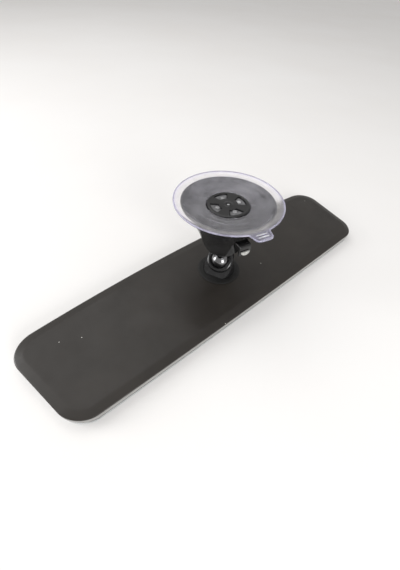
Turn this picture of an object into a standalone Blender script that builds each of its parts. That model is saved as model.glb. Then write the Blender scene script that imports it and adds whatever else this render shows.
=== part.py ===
"""Rear view mirror monitor with a ball-jointed suction mount, the in-cab half of a backup camera kit.

The monitor lies glass down: the glass face is z = 0, +X runs along its length, +Y towards its bowed
top edge.  All dimensions below are millimetres; meshes are written in metres.
"""
import math

import bmesh
import bpy
from mathutils import Matrix, Vector

MM = 0.001

# --- monitor body -------------------------------------------------------------------------------
BODY_LENGTH = 282.6        # straight length before the short ends slant
BODY_WIDTH = 67.7          # width before the long edges bow
TOP_RADIUS = 17.2          # corner radius at the top (+Y) edge
BOTTOM_RADIUS = 14.3       # corner radius at the bottom (-Y) edge
TOP_BOW = 7.9              # how far the top edge bows out at mid length
BOTTOM_BOW = 1.0
END_SLANT = 6.8            # growth in half length over the full width, top edge longer than bottom
Y_SHIFT = (TOP_BOW - BOTTOM_BOW) / 2
CORNER_STEPS = 7
EDGE_STEPS = 10

GLASS_THICK = 1.8
TAPE_THICK = 0.3
FRAME_LOW = 2.3
FRAME_HIGH = 6.9
LEDGE_THICK = 1.0
COVER_LOW = 7.2
COVER_EDGE = 7.6
COVER_TOP = 9.5
COVER_WALL = 1.4
RIM_BAND = 4.8             # width of the cover's sloped border
GAP = 0.3

# --- inside the monitor -------------------------------------------------------------------------
DISPLAY_SIZE = (105.5, 60.6)
PANEL_Z = (2.2, 3.3)
BACKLIGHT_Z = (3.5, 5.2)
BOARD_X = (-134.0, -64.0)
BOARD_Y = (-20.0, 22.0)
BOARD_Z = (3.2, 4.0)
PORT_Y = 4.4
PORT_SIZE = (14.0, 4.6, 1.8)
PORT_Z = 3.7
PORT_CLEARANCE = 0.25
BOARD_SCREWS = [(-129.0, -15.0), (-129.0, 18.0), (-76.0, -15.0), (-76.0, 18.0)]

# --- mount --------------------------------------------------------------------------------------
MOUNT = (-0.3, 1.2)        # the mount's axis, close to the middle of the monitor
BALL_Z = 19.3
BALL_R = 6.7
SEAT_R = (7.0, 7.7)        # inner and outer radius of the ball seat
SOCKET_IN_R = 8.0
SOCKET_OUT_R = 9.9
MOUTH_LEAN = math.radians(43)   # the socket's mouth leans this far from the vertical
MOUTH_AZ = math.radians(-155)   # and in this direction
MOUNT_SCREW_CIRCLE = 7.0
MOUNT_BORE_R = 1.3
NECK_R = 2.9
HOUSING_LOW = 28.2
WEB_LOW = 56.7
WEB_HIGH = 59.5
PIN_Z = 52.0
PIN_R = 1.5
STEM_R = 2.0
LEVER_AZ = math.radians(-104)   # lever and pull tab point the same way
LEVER_HALF = 4.2
FORK_GAP_HALF = 2.3
LEVER_REACH = 25.8
LEVER_THICK = 3.0
POCKET_HALF = 4.7
CAM_LOW_R = 4.0
CAM_HIGH_R = 6.0
HUB_R = 13.6
PAD_R = 34.4
PAD_TOP = 70.5
TAB_TIP = [(40.6, 0.0), (40.3, 3.4), (38.9, 5.6)]   # pull tab's edge: outwards, sideways
TURN_STEPS = 48


# --- helpers ------------------------------------------------------------------------------------
def clear_scene():
    for obj in list(bpy.data.objects):
        bpy.data.objects.remove(obj, do_unlink=True)


def material(name, color, roughness, metallic=0.0, alpha=1.0):
    mat = bpy.data.materials.new(name)
    mat.use_nodes = True
    shader = mat.node_tree.nodes["Principled BSDF"]
    shader.inputs["Base Color"].default_value = (*color, 1.0)
    shader.inputs["Roughness"].default_value = roughness
    shader.inputs["Metallic"].default_value = metallic
    shader.inputs["Alpha"].default_value = alpha
    return mat


def finish(name, bm, mat, origin=(0, 0, 0), smooth=False):
    """Turn a millimetre bmesh into an object in metres whose origin sits at the given point."""
    bmesh.ops.recalc_face_normals(bm, faces=bm.faces)
    if bm.calc_volume(signed=True) < 0:
        bmesh.ops.reverse_faces(bm, faces=bm.faces)
    bmesh.ops.translate(bm, verts=bm.verts, vec=-Vector(origin))
    bmesh.ops.scale(bm, verts=bm.verts, vec=(MM, MM, MM))
    mesh = bpy.data.meshes.new(name)
    bm.to_mesh(mesh)
    bm.free()
    if smooth:
        mesh.shade_smooth()
        mesh.set_sharp_from_angle(angle=math.radians(30))
    obj = bpy.data.objects.new(name, mesh)
    bpy.context.collection.objects.link(obj)
    obj.location = Vector(origin) * MM
    if mat:
        obj.data.materials.append(mat)
    return obj


def combine(obj, tool, operation):
    """Boolean obj with tool; the tool stays in the scene as a hidden wire guide."""
    mod = obj.modifiers.new(tool.name, "BOOLEAN")
    mod.operation = operation
    mod.object = tool
    mod.solver = "EXACT"
    tool.hide_render = True
    tool.display_type = "WIRE"
    return obj


def cut(obj, tool):
    return combine(obj, tool, "DIFFERENCE")


def add_loop(bm, points, z):
    return [bm.verts.new((x, y, z)) for x, y in points]


def bridge(bm, lower, upper):
    count = len(lower)
    for i in range(count):
        j = (i + 1) % count
        bm.faces.new((lower[i], lower[j], upper[j], upper[i]))


def stack(loops):
    """A solid from loops of equal length, capped at both ends."""
    bm = bmesh.new()
    rows = [add_loop(bm, points, z) for points, z in loops]
    for lower, upper in zip(rows, rows[1:]):
        bridge(bm, lower, upper)
    bm.faces.new(list(reversed(rows[0])))
    bm.faces.new(rows[-1])
    return bm


def closed_ring(loops):
    """A ring whose cross-section is the closed chain of loops."""
    bm = bmesh.new()
    rows = [add_loop(bm, points, z) for points, z in loops]
    for lower, upper in zip(rows, rows[1:] + rows[:1]):
        bridge(bm, lower, upper)
    return bm


def turned(profile, steps=TURN_STEPS, center=(0, 0), axis_matrix=None):
    """A turned solid. The (radius, z) profile may start and end on the axis, or close on itself."""
    bm = bmesh.new()
    rows = []
    for radius, z in profile:
        if radius == 0:
            rows.append([bm.verts.new((center[0], center[1], z))])
            continue
        row = []
        for i in range(steps):
            angle = 2 * math.pi * i / steps
            row.append(bm.verts.new((center[0] + radius * math.cos(angle),
                                     center[1] + radius * math.sin(angle), z)))
        rows.append(row)
    on_axis = len(rows[0]) == 1
    pairs = zip(rows, rows[1:] if on_axis else rows[1:] + rows[:1])
    for lower, upper in pairs:
        for i in range(steps):
            j = (i + 1) % steps
            corners = [lower[i % len(lower)], lower[j % len(lower)],
                       upper[j % len(upper)], upper[i % len(upper)]]
            unique = list(dict.fromkeys(corners))
            if len(unique) >= 3:
                bm.faces.new(unique)
    if axis_matrix:
        bmesh.ops.transform(bm, matrix=axis_matrix, verts=bm.verts)
    return bm


def block(low, high):
    corners = [(low[0], low[1]), (high[0], low[1]), (high[0], high[1]), (low[0], high[1])]
    return stack([(corners, low[2]), (corners, high[2])])


def merge(bms):
    """Several separate solids in one bmesh."""
    result = bmesh.new()
    for bm in bms:
        mesh = bpy.data.meshes.new("scratch")
        bm.to_mesh(mesh)
        bm.free()
        result.from_mesh(mesh)
        bpy.data.meshes.remove(mesh)
    return result


def rod(x, y, radius, z_low, z_high, steps=16):
    return turned([(0, z_low), (radius, z_low), (radius, z_high), (0, z_high)], steps, (x, y))


def rods(places, radius, z_low, z_high, steps=16):
    return merge([rod(x, y, radius, z_low, z_high, steps) for x, y in places])


def outline(inset=0.0):
    """The monitor's outline: a rounded rectangle with bowed long edges and slanted ends."""
    half_l = BODY_LENGTH / 2 - inset
    half_w = BODY_WIDTH / 2 - inset
    corners = [(1, -1, BOTTOM_RADIUS, -90), (1, 1, TOP_RADIUS, 0),
               (-1, 1, TOP_RADIUS, 90), (-1, -1, BOTTOM_RADIUS, 180)]
    rounded = []
    for sx, sy, radius, start in corners:
        r = max(radius - inset, 1.0)
        cx = sx * (half_l - r)
        cy = sy * (half_w - r)
        for k in range(CORNER_STEPS + 1):
            a = math.radians(start + 90 * k / CORNER_STEPS)
            rounded.append((cx + r * math.cos(a), cy + r * math.sin(a)))
    points = []
    for i, (x0, y0) in enumerate(rounded):
        x1, y1 = rounded[(i + 1) % len(rounded)]
        steps = EDGE_STEPS if abs(x1 - x0) > BODY_LENGTH / 2 else 1
        for k in range(steps):
            x = x0 + (x1 - x0) * k / steps
            y = y0 + (y1 - y0) * k / steps
            across = y / (BODY_WIDTH / 2)
            along = x / (BODY_LENGTH / 2)
            bow = TOP_BOW if across > 0 else BOTTOM_BOW
            points.append((x + END_SLANT * across * along,
                           y + bow * across * (1 - along * along) - Y_SHIFT))
    return points


def mount_point(radial, tangential, z):
    """A point given in the lever's own plane: out along its azimuth, across it, and up."""
    return Vector((MOUNT[0] + radial * math.cos(LEVER_AZ) - tangential * math.sin(LEVER_AZ),
                   MOUNT[1] + radial * math.sin(LEVER_AZ) + tangential * math.cos(LEVER_AZ), z))


def plate_across(profile, low, high):
    """A (radial, z) outline in the lever's plane, extruded across it from low to high."""
    bm = bmesh.new()
    near = [bm.verts.new(mount_point(r, low, z)) for r, z in profile]
    far = [bm.verts.new(mount_point(r, high, z)) for r, z in profile]
    bridge(bm, near, far)
    bm.faces.new(list(reversed(near)))
    bm.faces.new(far)
    return bm


def arc(center, radius, start, end, steps):
    return [(center[0] + radius * math.cos(math.radians(start + (end - start) * k / steps)),
             center[1] + radius * math.sin(math.radians(start + (end - start) * k / steps)))
            for k in range(steps + 1)]


# --- materials ----------------------------------------------------------------------------------
clear_scene()
MIRROR = material("mirror", (0.55, 0.57, 0.6), 0.05, 0.9)
SILVER = material("frame_grey", (0.55, 0.55, 0.54), 0.4)
COVER = material("cover_black", (0.045, 0.043, 0.042), 0.45)
GLOSS = material("gloss_black", (0.02, 0.02, 0.021), 0.12)
BALL = material("ball_metal", (0.12, 0.12, 0.13), 0.15, 0.9)
STEEL = material("steel", (0.6, 0.6, 0.62), 0.3, 1.0)
RUBBER = material("rubber", (0.03, 0.03, 0.03), 0.8)
TAPE = material("foam_tape", (0.05, 0.05, 0.05), 0.9)
GREEN = material("board", (0.02, 0.14, 0.06), 0.5)
CHIP = material("chip", (0.03, 0.03, 0.035), 0.5)
AMBER = material("ribbon", (0.55, 0.25, 0.04), 0.4)
GREY = material("grip_grey", (0.5, 0.5, 0.49), 0.45)
PANEL = material("panel", (0.02, 0.02, 0.03), 0.1)
CLEAR = material("clear_pad", (0.8, 0.8, 0.88), 0.15, alpha=0.35)


# --- monitor ------------------------------------------------------------------------------------
def build_glass():
    edge = 0.5
    loops = [(outline(edge + 0.3), 0.0), (outline(edge), 0.4), (outline(edge), GLASS_THICK)]
    finish("mirror_glass", stack(loops), MIRROR)
    low = GLASS_THICK + 0.1
    high = low + TAPE_THICK
    finish("glass_tape", closed_ring([(outline(1.2), low), (outline(1.2), high),
                                      (outline(3.8), high), (outline(3.8), low)]), TAPE)


def build_frame():
    ledge_top = FRAME_LOW + LEDGE_THICK
    loops = [(outline(0.0), FRAME_LOW), (outline(0.0), FRAME_HIGH), (outline(2.0), FRAME_HIGH),
             (outline(2.0), ledge_top), (outline(4.2), ledge_top), (outline(4.2), FRAME_LOW)]
    frame = finish("mid_frame", closed_ring(loops), SILVER)
    length, width, height = PORT_SIZE
    half_w = width / 2 + PORT_CLEARANCE
    half_h = height / 2 + PORT_CLEARANCE
    slot = block((-150, PORT_Y - half_w, PORT_Z - half_h), (-132, PORT_Y + half_w, PORT_Z + half_h))
    cut(frame, finish("port_slot_cutter", slot, None))


def build_cover():
    inner_top = COVER_TOP - COVER_WALL
    loops = [(outline(1.6), COVER_LOW), (outline(0.0), COVER_LOW), (outline(0.0), COVER_EDGE),
             (outline(0.9), COVER_EDGE + 0.7), (outline(RIM_BAND), COVER_TOP - 0.25),
             (outline(RIM_BAND + 1.4), COVER_TOP)]
    inside = [(outline(RIM_BAND + 1.4), inner_top), (outline(2.4), COVER_EDGE - 0.2)]
    bm = bmesh.new()
    rows = [add_loop(bm, points, z) for points, z in inside[:1] + inside[1:] + loops]
    for lower, upper in zip(rows, rows[1:]):
        bridge(bm, lower, upper)
    bm.faces.new(rows[0])
    bm.faces.new(rows[-1])
    cover = finish("rear_cover", bm, COVER)
    bosses = rods(BOARD_SCREWS, 2.4, BOARD_Z[1] + GAP, inner_top + 0.5)
    combine(cover, finish("boss_guide", bosses, None), "UNION")
    bores = rods(BOARD_SCREWS, 1.0, BOARD_Z[1], inner_top - 0.6)
    cut(cover, finish("boss_bore_cutter", bores, None))
    cut(cover, finish("cover_hole_cutter", rods(mount_screw_places(), MOUNT_BORE_R, 7.0, 10.5), None))


def build_display():
    half_x = DISPLAY_SIZE[0] / 2
    half_y = DISPLAY_SIZE[1] / 2
    finish("display_panel", block((-half_x, -half_y, PANEL_Z[0]), (half_x, half_y, PANEL_Z[1])), PANEL)
    finish("backlight_unit", block((-half_x, -half_y, BACKLIGHT_Z[0]),
                                   (half_x, half_y, BACKLIGHT_Z[1])), STEEL)
    corners = [(-1, -1), (1, -1), (1, 1), (-1, 1)]
    inner = [(sx * (half_x + 0.5), sy * (half_y + 0.5)) for sx, sy in corners]
    outer = [(sx * (half_x + 3.0), sy * (half_y + 1.3)) for sx, sy in corners]
    low = GLASS_THICK + 0.2
    high = low + 0.9
    ring = closed_ring([(outer, low), (outer, high), (inner, high), (inner, low)])
    finish("display_gasket", ring, TAPE)


def build_board():
    x0, x1 = BOARD_X
    y0, y1 = BOARD_Y
    notch_x = -126.5
    notch_half = PORT_SIZE[1] / 2 + 0.8
    shape = [(x0, y0), (x1, y0), (x1, y1), (x0, y1), (x0, PORT_Y + notch_half),
             (notch_x, PORT_Y + notch_half), (notch_x, PORT_Y - notch_half),
             (x0, PORT_Y - notch_half)]
    board = finish("main_board", stack([(shape, BOARD_Z[0]), (shape, BOARD_Z[1])]), GREEN)
    cut(board, finish("board_hole_cutter", rods(BOARD_SCREWS, 1.1, 2.5, 5.0), None))
    top = BOARD_Z[1] + 0.1
    chips = {"video_chip": (-112, -6, 12, 12, 1.4), "memory_chip": (-95, 4, 8, 11, 1.1),
             "power_chip": (-95, -14, 8, 10, 1.1), "receiver_chip": (-120, -14, 5, 6, 1.0)}
    for name, (x, y, length, width, height) in chips.items():
        finish(name, block((x, y, top), (x + length, y + width, top + height)), CHIP)
    caps = [(-122.0, -2.0), (-82.0, -3.0), (-82.0, 4.0)]
    for number, (x, y) in enumerate(caps, 1):
        finish(f"capacitor_{number}", rod(x, y, 2.2, top, 7.2), STEEL)
    finish("ribbon_connector", block((-71.5, -10, top), (-66.0, 10, top + 1.3)), GREY)
    ribbon = [(-65.6, 4.9), (-62.0, 5.6), (-57.5, 5.6), (-53.2, 4.7)]
    bm = bmesh.new()
    rows = []
    for x, z in ribbon:
        rows.append([bm.verts.new((x, -9, z)), bm.verts.new((x, 9, z)),
                     bm.verts.new((x, 9, z + 0.2)), bm.verts.new((x, -9, z + 0.2))])
    for lower, upper in zip(rows, rows[1:]):
        bridge(bm, lower, upper)
    bm.faces.new(rows[0])
    bm.faces.new(rows[-1])
    finish("display_ribbon", bm, AMBER)
    finish("touch_key_strip", block((-118, -30.5, 2.0), (-78, -23.5, 2.6)), AMBER)
    screw = [(0, 2.1), (1.7, 2.1), (1.7, 2.9), (0.7, 2.9), (0.7, 7.0), (0, 7.0)]
    for number, place in enumerate(BOARD_SCREWS, 1):
        finish(f"board_screw_{number}", turned(screw, 16, place), STEEL)


def build_port():
    length, width, height = PORT_SIZE
    x0 = -141.2
    body = block((x0, PORT_Y - width / 2, PORT_Z - height / 2),
                 (x0 + length, PORT_Y + width / 2, PORT_Z + height / 2))
    port = finish("port_connector", body, STEEL)
    mouth = block((x0 - 1, PORT_Y - width / 2 + 0.4, PORT_Z - height / 2 + 0.4),
                  (x0 + 6, PORT_Y + width / 2 - 0.4, PORT_Z + height / 2 - 0.4))
    cut(port, finish("port_mouth_cutter", mouth, None))


# --- mount foot ---------------------------------------------------------------------------------
def mount_screw_places():
    return [(MOUNT[0] + MOUNT_SCREW_CIRCLE * math.cos(math.radians(45 + 90 * k)),
             MOUNT[1] + MOUNT_SCREW_CIRCLE * math.sin(math.radians(45 + 90 * k))) for k in range(4)]


def mouth_frame():
    """Places a shape turned about the socket's leaning mouth axis, its z = 0 at the ball centre."""
    hinge = Vector((-math.sin(MOUTH_AZ), math.cos(MOUTH_AZ), 0))
    lean = Matrix.Rotation(MOUTH_LEAN, 4, hinge)
    return Matrix.Translation((*MOUNT, BALL_Z)) @ lean


def sphere_profile(radius, start, end, steps):
    """Points of a circle about the origin, angles measured from the mouth axis."""
    return [(radius * math.sin(math.radians(start + (end - start) * k / steps)),
             radius * math.cos(math.radians(start + (end - start) * k / steps)))
            for k in range(steps + 1)]


def ball_solid(radius, segments, rings):
    bm = bmesh.new()
    bmesh.ops.create_uvsphere(bm, u_segments=segments, v_segments=rings, radius=radius)
    bmesh.ops.translate(bm, verts=bm.verts, vec=(*MOUNT, BALL_Z))
    return bm


def build_mount_foot():
    places = mount_screw_places()
    plate = finish("mount_backing_plate", turned([(0, 6.8), (15.0, 6.8), (15.0, 7.8), (0, 7.8)],
                                                 40, MOUNT), STEEL)
    cut(plate, finish("plate_hole_cutter", rods(places, MOUNT_BORE_R, 6.0, 8.0), None))
    screw = [(0, 5.6), (2.0, 5.6), (2.0, 6.5), (0.9, 6.5), (0.9, 11.8), (0, 11.8)]
    for number, place in enumerate(places, 1):
        finish(f"mount_screw_{number}", turned(screw, 16, place), STEEL)
    pad = finish("flange_pad", turned([(0, 9.7), (15.9, 9.7), (15.9, 10.1), (15.5, 10.3), (0, 10.3)],
                                      TURN_STEPS, MOUNT), RUBBER, smooth=True)
    cut(pad, finish("pad_hole_cutter", rods(places, MOUNT_BORE_R, 9.0, 10.6), None))
    profile = [(0, 10.5), (11.6, 10.5), (12.0, 11.0), (11.9, 12.2), (11.2, 14.5), (10.5, 17.5),
               (SOCKET_OUT_R, 21.0), (SOCKET_OUT_R, 27.0), (0, 27.0)]
    socket = finish("socket_base", turned(profile, TURN_STEPS, MOUNT), GLOSS, smooth=True)
    cut(socket, finish("screw_pocket_cutter", rods(places, 1.2, 9.5, 12.1), None))
    cut(socket, finish("ball_pocket_cutter", ball_solid(SOCKET_IN_R, 32, 16), None))
    above = block((-20, -20, 0.2), (20, 20, 20))
    bmesh.ops.transform(above, matrix=mouth_frame(), verts=above.verts)
    cut(socket, finish("mouth_cutter", above, None))
    seat = sphere_profile(SEAT_R[0], 180, 96, 10)[1:] + sphere_profile(SEAT_R[1], 96, 180, 10)[:-1]
    seat = [(0, -SEAT_R[0])] + seat + [(0, -SEAT_R[1])]
    finish("ball_seat", turned(seat, 32, axis_matrix=mouth_frame()), RUBBER, smooth=True)
    lip = sphere_profile(SEAT_R[0], 86, 71.5, 4)
    ring = lip + [(7.2, 2.75), (8.2, 2.75), (9.3, 2.2), (9.7, 1.4), (9.7, 0.5)]
    finish("retaining_ring", turned(ring, TURN_STEPS, axis_matrix=mouth_frame()), GLOSS, smooth=True)


# --- swivelling mount ---------------------------------------------------------------------------
def build_ball_and_neck():
    origin = (*MOUNT, BALL_Z)
    finish("ball", ball_solid(BALL_R, 32, 16), BALL, origin, smooth=True)
    cup = BALL_R + GAP
    base = [(cup * math.sin(math.radians(a)), BALL_Z + cup * math.cos(math.radians(a)))
            for a in (6, 12, 19)]
    neck = [(0, BALL_Z + cup)] + base + [(NECK_R, base[-1][1] + 0.1), (NECK_R, 27.2), (3.8, 27.8),
                                         (2.5, 27.8), (2.5, 33.0), (0, 33.0)]
    finish("ball_neck", turned(neck, 32, MOUNT), GLOSS, origin, smooth=True)


def housing_profile():
    outside = [(5.0, HOUSING_LOW), (6.4, 28.6), (9.3, 31.0), (11.8, 33.4), (13.4, 36.2), (15.0, 40.0),
               (16.7, 45.0), (18.8, 50.0), (22.3, 56.5), (26.8, 63.0), (29.3, 65.8), (30.0, 67.2),
               (30.0, 68.6)]
    inside = [(29.0, 68.6), (28.3, 67.0), (26.2, 64.8), (21.6, 60.2), (18.0, WEB_HIGH),
              (STEM_R + 0.5, WEB_HIGH), (STEM_R + 0.5, 44.9), (2.9, 44.5), (2.9, HOUSING_LOW)]
    return outside + inside


def build_housing():
    origin = (*MOUNT, BALL_Z)
    housing = finish("cup_housing", turned(housing_profile(), TURN_STEPS, MOUNT), GLOSS, origin,
                     smooth=True)
    pocket = [(-7.8, WEB_LOW), (-7.8, 44.3), (2.0, 44.3), (12.3, 28.5), (36.0, 28.5), (36.0, 55.0),
              (9.0, 55.0), (9.0, WEB_LOW)]
    cutter = finish("lever_pocket_cutter", plate_across(pocket, -POCKET_HALF, POCKET_HALF), None)
    cut(housing, cutter)


def build_pad():
    """The clear pad: a shallow dish round the hub, with a pull tab on the lever's side."""
    bands = [(HUB_R + 0.4, 67.0, 64.8), (18.0, 67.5, 65.7), (24.0, 68.4, 67.0), (28.0, 69.1, 67.9),
             (28.8, 69.3, 68.9), (31.0, 69.9, 69.0), (33.0, PAD_TOP, 69.3), (PAD_R, PAD_TOP, 69.7)]
    steps = 90
    bm = bmesh.new()
    top = []
    bottom = []
    for radius, z_top, z_low in bands:
        row_top = []
        row_low = []
        for i in range(steps):
            angle = 2 * math.pi * i / steps
            outward = radius * math.cos(angle)
            sideways = radius * math.sin(angle)
            from_tab = min(i, steps - i)
            if radius == PAD_R and from_tab < len(TAB_TIP):
                outward, half_width = TAB_TIP[from_tab]
                sideways = math.copysign(half_width, sideways)
            row_top.append(bm.verts.new(mount_point(outward, sideways, z_top)))
            row_low.append(bm.verts.new(mount_point(outward, sideways, z_low)))
        top.append(row_top)
        bottom.append(row_low)
    chain = top + bottom[::-1]
    for lower, upper in zip(chain, chain[1:] + chain[:1]):
        bridge(bm, lower, upper)
    finish("suction_pad", bm, CLEAR, (*MOUNT, BALL_Z), smooth=True)


def build_hub_and_stem():
    origin = (*MOUNT, PIN_Z)
    hub = finish("pad_hub", turned([(2.3, 63.4), (6.0, 63.4), (7.0, 64.4), (HUB_R, 64.9),
                                    (HUB_R, 66.9), (HUB_R - 0.6, 67.3), (1.2, 67.3), (1.2, 66.3),
                                    (2.3, 66.3)], TURN_STEPS, MOUNT), GLOSS, origin, smooth=True)
    slots = []
    for k in range(4):
        middle = math.degrees(LEVER_AZ) + 90 * k
        shape = arc(MOUNT, 11.4, middle - 24, middle + 24, 6) + arc(MOUNT, 9.4, middle + 22, middle - 22, 5)
        slots.append(stack([(shape, 65.9), (shape, 68.0)]))
        plug = arc(MOUNT, 7.3, middle, middle, 1)[0]
        slots.append(rod(*plug, 0.9, 66.3, 68.0, 12))
    cut(hub, finish("hub_recess_cutter", merge(slots), None))
    shaft = turned([(0, 54.0), (STEM_R, 54.0), (STEM_R, 66.0), (0.9, 66.0), (0.9, 67.0), (0, 67.0)],
                   24, MOUNT)
    stem = finish("draw_stem", shaft, STEEL, origin)
    eye_shape = arc((0, PIN_Z), 3.8, -180, 0, 12) + [(3.8, 54.2), (2.6, 55.4), (-2.6, 55.4), (-3.8, 54.2)]
    eye = finish("stem_eye_guide", plate_across(eye_shape, -1.9, 1.9), None)
    combine(stem, eye, "UNION")
    hole = finish("stem_hole_cutter", plate_across(arc((0, PIN_Z), PIN_R + GAP, 0, 330, 11), -3, 3), None)
    cut(stem, hole)
    pin = plate_across(arc((0, PIN_Z), PIN_R, 0, 342, 19), -LEVER_HALF - 0.2, LEVER_HALF + 0.2)
    finish("lever_pin", pin, STEEL, origin)


def lever_shape():
    """Side view of the lever: cam, straight arm and turned-down lip."""
    top = PIN_Z + LEVER_THICK / 2
    low = PIN_Z - LEVER_THICK / 2
    cam = []
    for degrees in range(90, 151, 10):
        radius = CAM_LOW_R + (CAM_HIGH_R - CAM_LOW_R) * min(1.0, (degrees - 90) / 50)
        cam.append((radius * math.cos(math.radians(degrees)),
                    PIN_Z + radius * math.sin(math.radians(degrees))))
    heel = arc((0, PIN_Z), CAM_LOW_R, 170, 325, 10)
    arm = [(5.2, low), (20.5, low), (22.6, low - 0.6), (23.9, low - 2.0), (24.0, 46.2), (24.4, 45.9),
           (24.9, 45.9), (25.0, 46.2), (25.0, top - 1.6), (24.6, top - 0.6), (23.6, top), (5.6, top)]
    return cam + heel + arm


def build_lever():
    origin = (*MOUNT, PIN_Z)
    lever = finish("lock_lever", plate_across(lever_shape(), -LEVER_HALF, LEVER_HALF), GLOSS, origin)
    gap_shape = [(-8.0, 44.0), (4.6, 44.0), (4.6, 60.0), (-8.0, 60.0)]
    cut(lever, finish("fork_cutter", plate_across(gap_shape, -FORK_GAP_HALF, FORK_GAP_HALF), None))
    hole = plate_across(arc((0, PIN_Z), PIN_R + GAP, 0, 330, 11), -6, 6)
    cut(lever, finish("lever_hole_cutter", hole, None))
    grip = []
    for degrees in range(180, 361, 20):
        angle = math.radians(degrees)
        grip.append((3.1 * math.cos(angle), 49.4 + 2.9 * math.sin(angle)))
    bm = bmesh.new()
    front = [bm.verts.new(mount_point(LEVER_REACH + 0.5, t, z)) for t, z in grip]
    back = [bm.verts.new(mount_point(25.3, t, z)) for t, z in grip]
    bridge(bm, back, front)
    bm.faces.new(back)
    bm.faces.new(front)
    finish("lever_grip", bm, GREY, origin)


build_glass()
build_frame()
build_cover()
build_display()
build_board()
build_port()
build_mount_foot()
build_ball_and_neck()
build_housing()
build_pad()
build_hub_and_stem()
build_lever()
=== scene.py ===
"""Looks of a mirror monitor with a ball-jointed suction mount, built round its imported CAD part."""

import math

import bmesh
import bpy
from mathutils import Matrix, Vector


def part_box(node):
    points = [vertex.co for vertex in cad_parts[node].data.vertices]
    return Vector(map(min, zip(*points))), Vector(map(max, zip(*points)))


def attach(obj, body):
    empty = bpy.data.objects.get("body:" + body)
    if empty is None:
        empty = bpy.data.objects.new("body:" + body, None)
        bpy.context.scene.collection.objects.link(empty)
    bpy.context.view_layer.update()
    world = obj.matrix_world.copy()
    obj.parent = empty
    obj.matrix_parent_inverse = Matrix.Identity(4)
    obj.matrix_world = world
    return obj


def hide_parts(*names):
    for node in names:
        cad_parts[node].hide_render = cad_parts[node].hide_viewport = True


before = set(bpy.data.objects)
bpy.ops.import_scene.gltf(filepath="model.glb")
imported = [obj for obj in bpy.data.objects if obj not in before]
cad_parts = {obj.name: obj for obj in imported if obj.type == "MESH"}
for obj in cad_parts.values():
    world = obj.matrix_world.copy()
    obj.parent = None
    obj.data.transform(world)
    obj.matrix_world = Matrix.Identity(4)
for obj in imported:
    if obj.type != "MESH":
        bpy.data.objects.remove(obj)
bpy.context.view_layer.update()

MM = 0.001


def box_mm(node):
    low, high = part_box(node)
    return low / MM, high / MM


def middle(node):
    low, high = box_mm(node)
    return (low + high) / 2


# --- places taken from the CAD part, in millimetres ------------------------------------------------
BALL = middle("ball")
AXIS = (BALL.x, BALL.y)                  # the mount's own axis
PIN = middle("lever_pin")
GLASS_TOP = box_mm("mirror_glass")[1].z
FRAME_LOW = box_mm("mid_frame")[0].z
COVER_TOP = box_mm("rear_cover")[1].z
PORT_LOW, PORT_HIGH = box_mm("port_connector")
LEVER_AZ = math.radians(-104)            # the lever and the pull tab point this way
BALL_R = 6.7
PIN_R = 1.5
PIN_HOLE_R = 1.8
FRAME_STEP = 4.55                        # the frame's side wall steps back below this height
MOUTH_LEAN = math.radians(43)            # the socket's mouth leans this far from the vertical
MOUTH_AZ = math.radians(-155)            # and in this direction

# The monitor's outline: a rounded rectangle with bowed long edges and slanted ends.
BODY_LENGTH = 282.6
BODY_WIDTH = 67.7
TOP_RADIUS = 17.2
BOTTOM_RADIUS = 14.3
TOP_BOW = 7.9
BOTTOM_BOW = 1.0
END_SLANT = 6.8
Y_SHIFT = (TOP_BOW - BOTTOM_BOW) / 2
CORNER_STEPS = 16
EDGE_STEPS = 24


# --- node materials --------------------------------------------------------------------------------
def new_material(name):
    mat = bpy.data.materials.new(name)
    mat.use_nodes = True
    nodes = mat.node_tree.nodes
    return mat, nodes, mat.node_tree.links, nodes["Principled BSDF"]


def object_mm(nodes, links):
    """Object coordinates in millimetres."""
    where = nodes.new("ShaderNodeTexCoord")
    scale = nodes.new("ShaderNodeVectorMath")
    scale.operation = "SCALE"
    scale.inputs["Scale"].default_value = 1 / MM
    links.new(where.outputs["Object"], scale.inputs[0])
    return scale.outputs["Vector"]


def noise(nodes, links, where, period, detail=3.0, roughness=0.55):
    """Noise whose features are about one period, in millimetres, across."""
    tex = nodes.new("ShaderNodeTexNoise")
    tex.inputs["Scale"].default_value = 1 / period
    tex.inputs["Detail"].default_value = detail
    tex.inputs["Roughness"].default_value = roughness
    links.new(where, tex.inputs["Vector"])
    return tex.outputs["Fac"]


def spread(nodes, links, value, low, high, start=0.3, end=0.7):
    """Maps the value range start..end onto low..high."""
    node = nodes.new("ShaderNodeMapRange")
    for socket, number in (("From Min", start), ("From Max", end), ("To Min", low), ("To Max", high)):
        node.inputs[socket].default_value = number
    links.new(value, node.inputs["Value"])
    return node.outputs["Result"]


def blend_colors(nodes, links, factor, first, second):
    mix = nodes.new("ShaderNodeMix")
    mix.data_type = "RGBA"
    links.new(factor, mix.inputs["Factor"])
    for socket, color in ((mix.inputs[6], first), (mix.inputs[7], second)):
        if isinstance(color, tuple):
            socket.default_value = (*color, 1.0)
        else:
            links.new(color, socket)
    return mix.outputs[2]


def add_bump(nodes, links, shader, height, strength, distance_mm):
    bump = nodes.new("ShaderNodeBump")
    bump.inputs["Strength"].default_value = strength
    bump.inputs["Distance"].default_value = distance_mm * MM
    links.new(height, bump.inputs["Height"])
    links.new(bump.outputs["Normal"], shader.inputs["Normal"])


def edge_wear(nodes, links):
    """About 0 on flat and hollow places, 1 on outer edges."""
    geometry = nodes.new("ShaderNodeNewGeometry")
    return spread(nodes, links, geometry.outputs["Pointiness"], 0.0, 1.0, 0.52, 0.6)


def calculate(nodes, links, operation, first, second):
    """first is a socket, second a socket or a number."""
    node = nodes.new("ShaderNodeMath")
    node.operation = operation
    links.new(first, node.inputs[0])
    if isinstance(second, (int, float)):
        node.inputs[1].default_value = second
    else:
        links.new(second, node.inputs[1])
    return node.outputs[0]


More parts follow.
